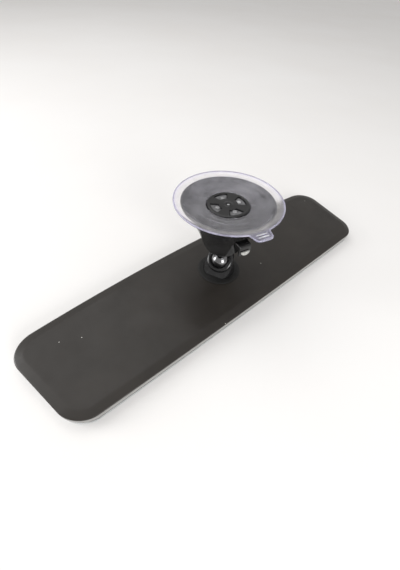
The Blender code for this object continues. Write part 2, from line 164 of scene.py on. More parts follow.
def specks(nodes, links, where, spacing, size, share):
    """Sparse dust specks: 1 inside a speck, 0 elsewhere."""
    cells = nodes.new("ShaderNodeTexVoronoi")
    cells.inputs["Scale"].default_value = 1 / spacing
    links.new(where, cells.inputs["Vector"])
    inside = calculate(nodes, links, "LESS_THAN", cells.outputs["Distance"], size / spacing)
    pick = nodes.new("ShaderNodeSeparateColor")
    links.new(cells.outputs["Color"], pick.inputs["Color"])
    chosen = calculate(nodes, links, "LESS_THAN", pick.outputs["Red"], share)
    return calculate(nodes, links, "MULTIPLY", inside, chosen)


def surface(name, color, roughness, metallic=0.0, vary=0.25, rough_vary=0.08, patch=9.0, grain=0.35,
            grain_depth=0.02, grain_strength=0.3, wear=0.0, worn=(0.5, 0.5, 0.5), dust=0.0,
            specular=0.5, coat=0.0, painted_shade_below=None):
    """A moulded or machined surface: patchy colour, uneven gloss, fine grain, worn edges and dust.

    painted_shade_below is (z, colour): painted shade, a colour that takes over beneath that height.
    """
    mat, nodes, links, shader = new_material(name)
    where = object_mm(nodes, links)
    patches = spread(nodes, links, noise(nodes, links, where, patch, 4.0), 0.0, 1.0)
    dark = tuple(c * (1 - vary) for c in color)
    light = tuple(min(1.0, c * (1 + vary)) for c in color)
    shade = blend_colors(nodes, links, patches, dark, light)
    # painted shade: the given colour takes over beneath the given height
    if painted_shade_below:
        height = nodes.new("ShaderNodeSeparateXYZ")
        links.new(where, height.inputs[0])
        painted_shade_mask = spread(nodes, links, height.outputs["Z"], 1.0, 0.0, painted_shade_below[0] - 0.1, painted_shade_below[0] + 0.1)
        shade = blend_colors(nodes, links, painted_shade_mask, shade, painted_shade_below[1])
    if wear:
        edge = edge_wear(nodes, links)
        broken = spread(nodes, links, noise(nodes, links, where, 1.5), 0.0, wear, 0.35, 0.65)
        worn_here = calculate(nodes, links, "MULTIPLY", edge, broken)
        shade = blend_colors(nodes, links, worn_here, shade, worn)
    if dust:
        shade = blend_colors(nodes, links, specks(nodes, links, where, 6.0, 0.3, dust), shade,
                             (0.72, 0.70, 0.66))
    links.new(shade, shader.inputs["Base Color"])
    gloss = noise(nodes, links, where, patch * 0.6, 5.0, 0.65)
    links.new(spread(nodes, links, gloss, roughness - rough_vary, roughness + rough_vary),
              shader.inputs["Roughness"])
    shader.inputs["Metallic"].default_value = metallic
    shader.inputs["Specular IOR Level"].default_value = specular
    shader.inputs["Coat Weight"].default_value = coat
    add_bump(nodes, links, shader, noise(nodes, links, where, grain, 2.0), grain_strength, grain_depth)
    return mat


def clear_plastic(name, color, haze, roughness, rim=None, painted_side_light=None):
    """Soft clear plastic with a little haze and finger smudges. rim lists (radius, colour) outwards.

    painted_side_light is (azimuth, near, far): painted shade and painted light, the tint's strength on
    the mount's near half and far half. The far half lies at that azimuth, in degrees.
    """
    mat, nodes, links, shader = new_material(name)
    where = object_mm(nodes, links)
    patches = spread(nodes, links, noise(nodes, links, where, 14.0, 4.0), 0.0, 1.0)
    darker = tuple(c * 0.82 for c in color)

    def tinted(strength):
        return blend_colors(nodes, links, patches, tuple(c * strength for c in darker),
                            tuple(c * strength for c in color))

    shade = tinted(1.0)
    # painted shade and painted light: the tint is scaled down on the mount's near half and up on its
    # far half
    if painted_side_light:
        across = nodes.new("ShaderNodeVectorMath")
        across.operation = "DOT_PRODUCT"
        azimuth = math.radians(painted_side_light[0])
        across.inputs[1].default_value = (math.cos(azimuth), math.sin(azimuth), 0)
        links.new(where, across.inputs[0])
        painted_light_mask = spread(nodes, links, across.outputs["Value"], 0.0, 1.0, -26.0, 26.0)
        shade = blend_colors(nodes, links, painted_light_mask, tinted(painted_side_light[1]), tinted(painted_side_light[2]))
    if rim:
        apart = nodes.new("ShaderNodeVectorMath")
        apart.operation = "DISTANCE"
        apart.inputs[1].default_value = (AXIS[0], AXIS[1], 0)
        flat = nodes.new("ShaderNodeVectorMath")
        flat.operation = "MULTIPLY"
        flat.inputs[1].default_value = (1, 1, 0)
        links.new(where, flat.inputs[0])
        links.new(flat.outputs["Vector"], apart.inputs[0])
        inner, outer = rim[0][0], rim[-1][0]
        ramp = nodes.new("ShaderNodeValToRGB")
        ramp.color_ramp.elements.remove(ramp.color_ramp.elements[1])
        for number, (radius, tint) in enumerate(rim):
            stop = ramp.color_ramp.elements[0] if number == 0 else ramp.color_ramp.elements.new(1.0)
            stop.position = (radius - inner) / (outer - inner)
            stop.color = (*tint, 1.0)
        along = spread(nodes, links, apart.outputs["Value"], 0.0, 1.0, inner, outer)
        links.new(along, ramp.inputs["Fac"])
        shade = blend_colors(nodes, links, patches, ramp.outputs["Color"], shade)
        beyond = spread(nodes, links, apart.outputs["Value"], 0.0, 1.0, inner - 0.3, inner)
        shade = blend_colors(nodes, links, beyond, shade, ramp.outputs["Color"])
    links.new(shade, shader.inputs["Base Color"])
    smudge = noise(nodes, links, where, 6.0, 5.0, 0.6)
    links.new(spread(nodes, links, smudge, roughness * 0.6, roughness * 1.6),
              shader.inputs["Roughness"])
    cloud = noise(nodes, links, where, 8.0, 5.0, 0.65)
    links.new(spread(nodes, links, cloud, 1 - haze * 0.5, 1 - haze * 1.7),
              shader.inputs["Transmission Weight"])
    shader.inputs["IOR"].default_value = 1.42
    add_bump(nodes, links, shader, noise(nodes, links, where, 3.0, 2.0), 0.12, 0.08)
    return mat


COVER = surface("cover_black", (0.0195, 0.0162, 0.0132), 0.44, vary=0.16, patch=26.0, grain=0.22,
                grain_depth=0.012, grain_strength=0.35, wear=0.35, worn=(0.12, 0.115, 0.11), dust=0.09,
                specular=0.38)
# The frame's side is painted darker beneath FRAME_STEP: painted shade on the lower stripe.
FRAME_GREY = surface("frame_grey", (0.28, 0.275, 0.265), 0.34, vary=0.07, patch=12.0, grain=0.3,
                     wear=0.3, worn=(0.5, 0.49, 0.48), coat=0.1,
                     painted_shade_below=(FRAME_STEP, (0.19, 0.187, 0.18)))
GLOSS = surface("gloss_black", (0.008, 0.008, 0.0085), 0.09, vary=0.3, rough_vary=0.035, patch=7.0,
                grain=2.5, grain_depth=0.01, grain_strength=0.1, wear=0.25, worn=(0.05, 0.05, 0.05),
                dust=0.03)
SATIN = surface("satin_black", (0.019, 0.0188, 0.0188), 0.19, vary=0.25, rough_vary=0.07, patch=8.0,
                grain=0.4, grain_depth=0.012, wear=0.3, worn=(0.06, 0.06, 0.058), dust=0.02)
RUBBER = surface("rubber", (0.009, 0.0088, 0.0085), 0.6, vary=0.3, patch=4.0, grain=0.3,
                 grain_depth=0.03, grain_strength=0.5, specular=0.35)
BALL_METAL = surface("ball_metal", (0.21, 0.21, 0.215), 0.17, metallic=1.0, vary=0.18, rough_vary=0.05,
                     patch=2.5, grain=0.5, grain_depth=0.006, wear=0.2, worn=(0.4, 0.4, 0.4))
STEEL = surface("steel", (0.55, 0.55, 0.56), 0.27, metallic=1.0, vary=0.12, patch=2.0, grain=0.25,
                grain_depth=0.01, wear=0.3, worn=(0.75, 0.75, 0.76))
ALUMINIUM = surface("aluminium", (0.74, 0.74, 0.75), 0.3, metallic=1.0, vary=0.08, patch=2.0,
                    grain=0.2, grain_depth=0.008)
NYLON = surface("nylon", (0.02, 0.02, 0.02), 0.5, patch=3.0, grain_depth=0.015)
FOAM = surface("foam_tape", (0.03, 0.03, 0.03), 0.85, vary=0.35, patch=1.2, grain=0.25,
               grain_depth=0.08, grain_strength=0.7)
CHIP = surface("chip", (0.022, 0.022, 0.024), 0.48, vary=0.2, patch=1.5, grain=0.15,
               grain_depth=0.015)
AMBER = surface("ribbon", (0.5, 0.22, 0.035), 0.3, vary=0.18, patch=3.0, grain=1.0)
CREAM = surface("connector", (0.68, 0.64, 0.55), 0.42, vary=0.08, patch=2.0, grain=0.3)
PANEL = surface("panel_glass", (0.012, 0.012, 0.02), 0.08, vary=0.3, rough_vary=0.03, patch=20.0,
                grain=5.0, grain_depth=0.005)
GRIP = surface("grip_grey", (0.42, 0.42, 0.40), 0.36, vary=0.12, patch=2.5, grain=0.3,
               wear=0.4, worn=(0.6, 0.6, 0.58))
MIRROR = surface("mirror", (0.72, 0.74, 0.755), 0.045, metallic=0.92, vary=0.03, rough_vary=0.02,
                 patch=40.0, grain=30.0, grain_depth=0.005, grain_strength=0.05)
# The pad's tint is painted darker on the mount's near half and lighter on its far half: painted shade
# and painted light.
CLEAR = clear_plastic("clear_pad", (0.70, 0.69, 0.745), 0.11, 0.13, painted_side_light=(40, 0.66, 1.38),
                      rim=[(28.9, (0.74, 0.73, 0.78)), (29.8, (0.98, 0.965, 0.97)),
                           (32.4, (0.975, 0.96, 0.995)), (34.2, (0.84, 0.82, 0.99))])
CLEAR_EDGE = clear_plastic("clear_edge", (0.88, 0.86, 1.0), 0.25, 0.1)
CLEAR_PLUG = clear_plastic("clear_plug", (0.93, 0.93, 0.95), 0.4, 0.08)
SMOKED = surface("smoked_window", (0.13, 0.13, 0.135), 0.13, vary=0.4, rough_vary=0.05, patch=2.0,
                 grain=0.8, grain_depth=0.02)


def board_material():
    """Green solder mask with darker ground areas, fine tracks and bright vias."""
    mat, nodes, links, shader = new_material("board")
    where = object_mm(nodes, links)
    areas = nodes.new("ShaderNodeTexBrick")
    areas.inputs["Scale"].default_value = 0.35
    areas.inputs["Mortar Size"].default_value = 0.035
    areas.inputs["Color1"].default_value = (0.012, 0.10, 0.04, 1)
    areas.inputs["Color2"].default_value = (0.02, 0.14, 0.055, 1)
    areas.inputs["Mortar"].default_value = (0.05, 0.24, 0.09, 1)
    links.new(where, areas.inputs["Vector"])
    vias = specks(nodes, links, where, 2.4, 0.3, 0.3)
    links.new(blend_colors(nodes, links, vias, areas.outputs["Color"], (0.6, 0.52, 0.3)),
              shader.inputs["Base Color"])
    links.new(spread(nodes, links, noise(nodes, links, where, 5.0), 0.25, 0.4),
              shader.inputs["Roughness"])
    add_bump(nodes, links, shader, areas.outputs["Fac"], 0.4, 0.03)
    return mat


BOARD = board_material()


# --- mesh helpers ----------------------------------------------------------------------------------
def add_loop(bm, points, z):
    return [bm.verts.new((x, y, z)) for x, y in points]


def bridge(bm, lower, upper):
    count = len(lower)
    for i in range(count):
        j = (i + 1) % count
        bm.faces.new((lower[i], lower[j], upper[j], upper[i]))


def lofted(loops, closed=False):
    """Loops of equal length joined in order: capped at both ends, or closed into a ring."""
    bm = bmesh.new()
    rows = [add_loop(bm, points, z) for points, z in loops]
    for lower, upper in zip(rows, rows[1:] + rows[:1] if closed else rows[1:]):
        bridge(bm, lower, upper)
    if not closed:
        bm.faces.new(rows[0])
        bm.faces.new(rows[-1])
    return bm


def rounded(points, closed=False, steps=5):
    """Rounds each corner that carries a third number, its size, and leaves the others sharp."""
    result = []
    count = len(points)
    for i, point in enumerate(points):
        here = Vector(point[:2])
        at_end = not closed and i in (0, count - 1)
        if len(point) < 3 or at_end:
            result.append((here.x, here.y))
            continue
        before = Vector(points[i - 1][:2]) - here
        after = Vector(points[(i + 1) % count][:2]) - here
        start = here + before.normalized() * min(point[2], before.length * 0.48)
        end = here + after.normalized() * min(point[2], after.length * 0.48)
        for k in range(steps + 1):
            t = k / steps
            spot = start * (1 - t) ** 2 + here * (2 * t * (1 - t)) + end * t * t
            result.append((spot.x, spot.y))
    return result


def flowing(points, steps=6):
    """A smooth curve through the points."""
    knots = [Vector(p) for p in points]
    knots = [2 * knots[0] - knots[1]] + knots + [2 * knots[-1] - knots[-2]]
    result = []
    for a, b, c, d in zip(knots, knots[1:], knots[2:], knots[3:]):
        for k in range(steps):
            t = k / steps
            spot = 0.5 * (2 * b + (c - a) * t + (2 * a - 5 * b + 4 * c - d) * t * t
                          + (3 * b - a - 3 * c + d) * t * t * t)
            result.append((max(spot.x, 0.0), spot.y))
    result.append(tuple(points[-1]))
    return result


def turned(profile, steps=144, center=(0, 0), matrix=None):
    """A turned solid: the (radius, z) profile starts and ends on the axis, or closes on itself."""
    bm = bmesh.new()
    rows = []
    for radius, z in profile:
        if radius < 1e-6:
            rows.append([bm.verts.new((center[0], center[1], z))])
            continue
        rows.append([bm.verts.new((center[0] + radius * math.cos(2 * math.pi * i / steps),
                                   center[1] + radius * math.sin(2 * math.pi * i / steps), z))
                     for i in range(steps)])
    on_axis = len(rows[0]) == 1
    for lower, upper in zip(rows, rows[1:] if on_axis else rows[1:] + rows[:1]):
        for i in range(steps):
            j = (i + 1) % steps
            corners = [lower[i % len(lower)], lower[j % len(lower)],
                       upper[j % len(upper)], upper[i % len(upper)]]
            unique = list(dict.fromkeys(corners))
            if len(unique) >= 3:
                bm.faces.new(unique)
    if matrix:
        bmesh.ops.transform(bm, matrix=matrix, verts=bm.verts)
    return bm


def merged(bms):
    """Several separate shells in one bmesh."""
    result = bmesh.new()
    for bm in bms:
        mesh = bpy.data.meshes.new("scratch")
        bm.to_mesh(mesh)
        bm.free()
        result.from_mesh(mesh)
        bpy.data.meshes.remove(mesh)
    return result


def outline(inset=0.0):
    half_l = BODY_LENGTH / 2 - inset
    half_w = BODY_WIDTH / 2 - inset
    corners = [(1, -1, BOTTOM_RADIUS, -90), (1, 1, TOP_RADIUS, 0),
               (-1, 1, TOP_RADIUS, 90), (-1, -1, BOTTOM_RADIUS, 180)]
    shape = []
    for sx, sy, radius, start in corners:
        r = max(radius - inset, 1.0)
        for k in range(CORNER_STEPS + 1):
            angle = math.radians(start + 90 * k / CORNER_STEPS)
            shape.append((sx * (half_l - r) + r * math.cos(angle),
                          sy * (half_w - r) + r * math.sin(angle)))
    points = []
    for i, (x0, y0) in enumerate(shape):
        x1, y1 = shape[(i + 1) % len(shape)]
        steps = EDGE_STEPS if abs(x1 - x0) > BODY_LENGTH / 2 else 1
        for k in range(steps):
            x = x0 + (x1 - x0) * k / steps
            y = y0 + (y1 - y0) * k / steps
            across = y / (BODY_WIDTH / 2)
            along = x / (BODY_LENGTH / 2)
            bow = TOP_BOW if across > 0 else BOTTOM_BOW
            points.append((x + END_SLANT * across * along,
                           y + bow * across * (1 - along * along) - Y_SHIFT))
    return points


def mount_point(radial, sideways, z):
    """A point in the lever's own plane: out along its azimuth, across it, and up."""
    return Vector((AXIS[0] + radial * math.cos(LEVER_AZ) - sideways * math.sin(LEVER_AZ),
                   AXIS[1] + radial * math.sin(LEVER_AZ) + sideways * math.cos(LEVER_AZ), z))


def across_plate(profile, low, high):
    """A (radial, z) outline in the lever's plane, extruded across it."""
    bm = bmesh.new()
    near = [bm.verts.new(mount_point(r, low, z)) for r, z in profile]
    far = [bm.verts.new(mount_point(r, high, z)) for r, z in profile]
    bridge(bm, near, far)
    bm.faces.new(list(reversed(near)))
    bm.faces.new(far)
    return bm


def arc(center, radius, start, end, steps):
    return [(center[0] + radius * math.cos(math.radians(start + (end - start) * k / steps)),
             center[1] + radius * math.sin(math.radians(start + (end - start) * k / steps)))
            for k in range(steps + 1)]


def fixed_mesh(bm, name):
    bmesh.ops.recalc_face_normals(bm, faces=bm.faces)
    if bm.calc_volume(signed=True) < 0:
        bmesh.ops.reverse_faces(bm, faces=bm.faces)
    bmesh.ops.scale(bm, verts=bm.verts, vec=(MM, MM, MM))
    mesh = bpy.data.meshes.new(name)
    bm.to_mesh(mesh)
    bm.free()
    return mesh


def piece(name, bm, mat, body, replaces=(), bevel=0.0, cutters=(), sharp=32):
    """Turns a millimetre bmesh into a finished piece that rides on a CAD body."""
    obj = bpy.data.objects.new(name, fixed_mesh(bm, name))
    bpy.context.scene.collection.objects.link(obj)
    tools = []
    for number, tool_bm in enumerate(cutters):
        tool = bpy.data.objects.new(f"{name}_tool_{number}", fixed_mesh(tool_bm, "tool"))
        bpy.context.scene.collection.objects.link(tool)
        tools.append(tool)
        mod = obj.modifiers.new("cut", "BOOLEAN")
        mod.operation = "DIFFERENCE"
        mod.solver = "EXACT"
        mod.object = tool
    if bevel:
        mod = obj.modifiers.new("bevel", "BEVEL")
        mod.width = bevel * MM
        mod.segments = 3
        mod.limit_method = "ANGLE"
        mod.angle_limit = math.radians(sharp)
    if obj.modifiers:
        graph = bpy.context.evaluated_depsgraph_get()
        made = bpy.data.meshes.new_from_object(obj.evaluated_get(graph))
        obj.modifiers.clear()
        obj.data = made
    for tool in tools:
        bpy.data.objects.remove(tool)
    obj.data.shade_smooth()
    obj.data.set_sharp_from_angle(angle=math.radians(sharp))
    obj.data.materials.clear()
    obj.data.materials.append(mat)
    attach(obj, body)
    if replaces:
        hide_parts(*replaces)
    return obj


# --- monitor ---------------------------------------------------------------------------------------
FRAME_TOP = 6.95
COVER_EDGE = 7.2
RIM_BAND = 4.8
PORT_Y = (PORT_LOW.y + PORT_HIGH.y) / 2
PORT_Z = (PORT_LOW.z + PORT_HIGH.z) / 2
PORT_GAP = 0.25
PORT_CUT_X = (-150, -132)                # from outside the left end to inside the frame's wall
PORT_WALL = 0.3


def rounded_block(low, high, radius):
    """A bar along x with rounded long edges."""
    corners = [(low[1], low[2], radius), (high[1], low[2], radius),
               (high[1], high[2], radius), (low[1], high[2], radius)]
    shape = rounded(corners, closed=True)
    bm = bmesh.new()
    rows = [[bm.verts.new((x, y, z)) for y, z in shape] for x in (low[0], high[0])]
    bridge(bm, *rows)
    bm.faces.new(rows[0])
    bm.faces.new(rows[1])
    return bm


def build_monitor():
    glass = [(1.1, 0.0), (0.75, 0.06), (0.55, 0.25), (0.5, 0.45), (0.5, GLASS_TOP - 0.3),
             (0.6, GLASS_TOP - 0.06), (0.85, GLASS_TOP)]
    piece("mirror_glass_look", lofted([(outline(i), z) for i, z in glass]), MIRROR, "monitor",
          ["mirror_glass"])

    wall = [(4.2, FRAME_LOW), (0.75, FRAME_LOW), (0.5, FRAME_LOW + 0.12), (0.42, FRAME_LOW + 0.4),
            (0.36, FRAME_STEP - 0.15), (0.34, FRAME_STEP), (0.05, FRAME_STEP + 0.1),
            (0.0, FRAME_STEP + 0.3),
            (0.0, FRAME_TOP - 0.35), (0.08, FRAME_TOP - 0.12), (0.35, FRAME_TOP), (2.0, FRAME_TOP),
            (2.0, FRAME_LOW + 1), (4.2, FRAME_LOW + 1)]
    slot = rounded_block((PORT_CUT_X[0], PORT_LOW.y - PORT_GAP, PORT_LOW.z - PORT_GAP),
                         (PORT_CUT_X[1], PORT_HIGH.y + PORT_GAP, PORT_HIGH.z + PORT_GAP), 0.7)
    piece("mid_frame_look", lofted([(outline(i), z) for i, z in wall], closed=True), FRAME_GREY,
          "monitor", ["mid_frame"], cutters=[slot])

    skin = [(1.6, COVER_EDGE), (0.45, COVER_EDGE), (0.12, COVER_EDGE + 0.08), (0.0, COVER_EDGE + 0.3),
            (0.06, COVER_EDGE + 0.55), (0.35, COVER_EDGE + 0.8), (1.0, COVER_EDGE + 1.0),
            (2.4, COVER_EDGE + 1.38), (3.8, COVER_EDGE + 1.78), (RIM_BAND, COVER_EDGE + 2.05),
            (RIM_BAND + 0.8, COVER_TOP - 0.06), (RIM_BAND + 1.8, COVER_TOP)]
    inside = [(RIM_BAND + 1.8, COVER_TOP - 1.4), (2.4, COVER_EDGE + 0.1)]
    rows = [(outline(i), z) for i, z in inside + skin]
    bosses = []
    for number in (1, 2, 3, 4):
        at = middle(f"board_screw_{number}")
        tube = rounded([(1.0, 4.3), (2.4, 4.3, 0.2), (2.2, 8.3), (1.0, 8.3)], closed=True)
        bosses.append(turned(tube, 32, (at.x, at.y)))
    piece("rear_cover_look", merged([lofted(rows)] + bosses), COVER, "monitor", ["rear_cover"],
          sharp=40)

    bore = rounded_block((PORT_LOW.x - 1, PORT_LOW.y + PORT_WALL, PORT_LOW.z + PORT_WALL),
                         (PORT_HIGH.x - 1, PORT_HIGH.y - PORT_WALL, PORT_HIGH.z - PORT_WALL), 0.4)
    piece("port_connector_look", rounded_block(PORT_LOW, PORT_HIGH, 0.6), STEEL, "monitor",
          ["port_connector"], cutters=[bore])
    tongue = rounded_block((PORT_LOW.x + 1.2, PORT_Y - 1.5, PORT_Z - 0.22),
                           (PORT_HIGH.x - 0.8, PORT_Y + 1.5, PORT_Z + 0.22), 0.1)
    piece("port_tongue", tongue, CHIP, "monitor")


# --- mount foot ------------------------------------------------------------------------------------
def mouth_frame():
    """Places a shape turned about the socket's leaning mouth axis, z = 0 at the ball's centre."""
    hinge = Vector((-math.sin(MOUTH_AZ), math.cos(MOUTH_AZ), 0))
    return Matrix.Translation(BALL) @ Matrix.Rotation(MOUTH_LEAN, 4, hinge)


def on_sphere(radius, start, end, steps):
    """Points of a circle about the ball's centre, measured from the mouth axis."""
    return [(radius * math.sin(math.radians(start + (end - start) * k / steps)),
             radius * math.cos(math.radians(start + (end - start) * k / steps)))
            for k in range(steps + 1)]


def build_foot():
    pad = rounded([(0, 9.7), (15.9, 9.7, 0.1), (15.9, 9.95, 0.2), (15.0, 10.25, 0.8),
                   (12.0, 10.3, 0.2), (0, 10.3)])
    piece("flange_pad_look", turned(pad, 144, AXIS), RUBBER, "monitor", ["flange_pad"])

    body = rounded([(0, 10.5), (11.6, 10.5, 0.4), (12.0, 11.4, 0.7), (11.3, 14.3, 2.0),
                    (10.4, 17.8, 2.0), (9.9, 21.5, 2.0), (9.9, 27.0, 0.8), (0, 27.0)])
    seat_r, seat_back_r, hollow_r = 7.0, 7.7, 8.0
    cut = 0.2                            # the socket ends this far above the ball's centre
    hollow = turned(on_sphere(hollow_r, 0, 180, 48), 96, matrix=Matrix.Translation(BALL))
    above = turned([(0, cut), (30, cut), (30, 25), (0, 25)], 48, matrix=mouth_frame())
    piece("socket_base_look", turned(body, 160, AXIS), GLOSS, "monitor", ["socket_base"],
          cutters=[hollow, above], bevel=0.12, sharp=40)

    seat_lip = rounded([(seat_r, -0.73), (7.3, -0.6, 0.2), (7.66, -0.8)])[1:-1]
    seat = on_sphere(seat_r, 180, 96, 30) + seat_lip + on_sphere(seat_back_r, 96, 180, 30)
    piece("ball_seat_look", turned(seat, 96, matrix=mouth_frame()), NYLON, "monitor", ["ball_seat"])

    outside = rounded([(6.64, 2.22), (7.1, 2.72, 0.35), (8.1, 2.78, 0.5), (9.2, 2.25, 0.7),
                       (9.75, 1.35, 0.5), (9.75, 0.5, 0.12), (6.98, 0.5)])[1:-1]
    ring = on_sphere(seat_r, 86, 71.5, 8) + outside
    piece("retaining_ring_look", turned(ring, 160, matrix=mouth_frame()), GLOSS, "monitor",
          ["retaining_ring"], sharp=50)


# --- swivelling parts ------------------------------------------------------------------------------
def build_ball_and_neck():
    groove = [(0, BALL_R - 0.55), (1.5, BALL_R - 0.5), (1.9, BALL_R - 0.42), (2.0, BALL_R - 0.32)]
    shell = groove + on_sphere(BALL_R, 18, 176, 60) + [(0.35, -BALL_R + 0.2), (0, -BALL_R + 0.25)]
    piece("ball_look", turned(shell, 112, matrix=Matrix.Translation(BALL)), BALL_METAL, "ball",
          ["ball"], sharp=45)
    low = BALL.z + BALL_R
    neck = rounded([(0, low + 0.3), (1.3, low + 0.17), (2.28, low - 0.08), (2.95, low, 0.25),
                    (2.75, low + 0.8, 0.6), (3.8, low + 1.6, 0.5), (3.8, 27.8, 0.15), (2.5, 27.8, 0.1),
                    (2.5, 33.0, 0.3), (0, 33.0)])
    piece("ball_neck_look", turned(neck, 96, AXIS), GLOSS, "neck", ["ball_neck"])


def build_housing():
    dome = flowing([(6.4, 28.6), (9.3, 31.0), (11.8, 33.4), (13.4, 36.2), (15.0, 40.0), (16.7, 45.0),
                    (18.8, 50.0), (22.3, 56.5), (26.8, 63.0), (28.9, 65.3)])
    rim = rounded([(28.9, 65.3), (29.1, 65.6, 0.15), (29.9, 65.9, 0.3), (30.0, 68.6, 0.5),
                   (29.1, 68.6, 0.4), (28.3, 67.0), (26.2, 64.8)])[1:]
    inside = [(21.6, 60.2), (18.0, 59.5), (2.5, 59.5), (2.5, 44.9), (2.9, 44.5), (2.9, 28.2)]
    profile = [(5.0, 28.2), (5.8, 28.3)] + dome + rim + inside
    pocket = rounded([(-7.8, 56.7), (-7.8, 44.3), (2.0, 44.3, 2.0), (12.3, 28.5), (36, 28.5), (36, 55),
                      (9.0, 55.0, 0.6), (9.0, 56.7)], closed=True)
    piece("cup_housing_look", turned(profile, 192, AXIS), SATIN, "cup", ["cup_housing"],
          cutters=[across_plate(pocket, -4.7, 4.7)], bevel=0.18, sharp=38)


PAD_BANDS = [(14.0, 66.6, 65.2), (14.3, 67.0, 64.9), (14.9, 67.15, 64.85), (15.6, 67.05, 65.0),
             (18.0, 67.5, 65.7), (20.6, 67.9, 66.2), (20.9, 68.02, 66.3), (21.3, 67.98, 66.35),
             (24.0, 68.4, 67.0), (25.8, 68.7, 67.35), (26.1, 68.83, 67.4), (26.5, 68.8, 67.5),
             (28.0, 69.1, 67.9), (28.8, 69.35, 68.9), (30.2, 69.62, 68.95), (31.0, 69.82, 69.0),
             (31.9, 70.15, 69.15), (32.6, 70.4, 69.25), (33.2, 70.5, 69.35), (33.9, 70.5, 69.45),
             (34.25, 70.42, 69.6), (34.4, 70.15, 69.85)]
PAD_STEPS = 360
TAB_TIP = [(0.0, 40.6), (2.6, 40.55), (4.2, 40.2), (5.2, 39.5), (5.8, 38.5), (6.1, 37.2), (6.4, 35.6),
           (6.6, 34.6), (7.1, 33.8), (7.6, 33.3)]


def tab_reach(sideways):
    """How far out the pull tab's edge is at this distance from its centre line."""
    for (s0, r0), (s1, r1) in zip(TAB_TIP, TAB_TIP[1:]):
        if s0 <= sideways <= s1:
            return r0 + (r1 - r0) * (sideways - s0) / (s1 - s0)
    return 0.0


def swept_ring(path, radius, inset, lift, sides=10):
    """A round bead along a closed level path, moved inwards and up from it."""
    bm = bmesh.new()
    rows = []
    count = len(path)
    for i, spot in enumerate(path):
        along = (path[(i + 1) % count] - path[i - 1]).normalized()
        inward = Vector((-along.y, along.x, 0))
        center = spot + inward * inset + Vector((0, 0, lift))
        rows.append([bm.verts.new(center + inward * (radius * math.cos(2 * math.pi * k / sides))
                                  + Vector((0, 0, radius * math.sin(2 * math.pi * k / sides))))
                     for k in range(sides)])
    for lower, upper in zip(rows, rows[1:] + rows[:1]):
        bridge(bm, lower, upper)
    return bm


def build_pad():
    bm = bmesh.new()
    tops = []
    lows = []
    edge_of_disc = PAD_BANDS[-6][0]
    for radius, z_top, z_low in PAD_BANDS:
        row_top = []
        row_low = []
        for i in range(PAD_STEPS):
            angle = 2 * math.pi * i / PAD_STEPS
            outward = radius * math.cos(angle)
            sideways = radius * math.sin(angle)
            if radius >= edge_of_disc and outward > 0:
                share = (radius - edge_of_disc) / (PAD_BANDS[-1][0] - edge_of_disc)
                plain_reach = math.sqrt(PAD_BANDS[-1][0] ** 2 - sideways ** 2)
                outward += max(tab_reach(abs(sideways)) - plain_reach, 0) * share
            row_top.append(bm.verts.new(mount_point(outward, sideways, z_top)))
            row_low.append(bm.verts.new(mount_point(outward, sideways, z_low)))
        tops.append(row_top)
        lows.append(row_low)
    chain = tops + lows[::-1]
    for lower, upper in zip(chain, chain[1:] + chain[:1]):
        bridge(bm, lower, upper)
    path = [v.co.copy() for v in tops[-1]]
    piece("suction_pad_look", bm, CLEAR, "cup", ["suction_pad"], sharp=60)
    piece("pad_edge_bead", swept_ring(path, 0.42, 0.42, 0.05), CLEAR_EDGE, "cup",
          sharp=60)


def rib(radial, half_length, width, z_low, z_high):
    """A raised rib across the pull tab, with a rounded crown and tapered ends."""
    bm = bmesh.new()
    rows = []
    for k in range(13):
        along = -1 + 2 * k / 12
        taper = math.sqrt(max(1 - abs(along) ** 6, 0.02))
        row = []
        for degrees in range(0, 181, 20):
            angle = math.radians(degrees)
            row.append(bm.verts.new(mount_point(radial + width * taper * math.cos(angle),
                                                half_length * along,
                                                z_low + (z_high - z_low) * taper * math.sin(angle))))
        rows.append(row)
    for lower, upper in zip(rows, rows[1:]):
        bridge(bm, lower, upper)
    bm.faces.new(rows[0])
    bm.faces.new(rows[-1])
    return bm


def kidney(turn, outer, outer_half, inner, inner_half):
    """A window's outline about the mount's axis: its two radii, and half the angle each one spans."""
    return (arc(AXIS, outer, turn - outer_half, turn + outer_half, 18)
            + arc(AXIS, inner, turn + inner_half, turn - inner_half, 12))


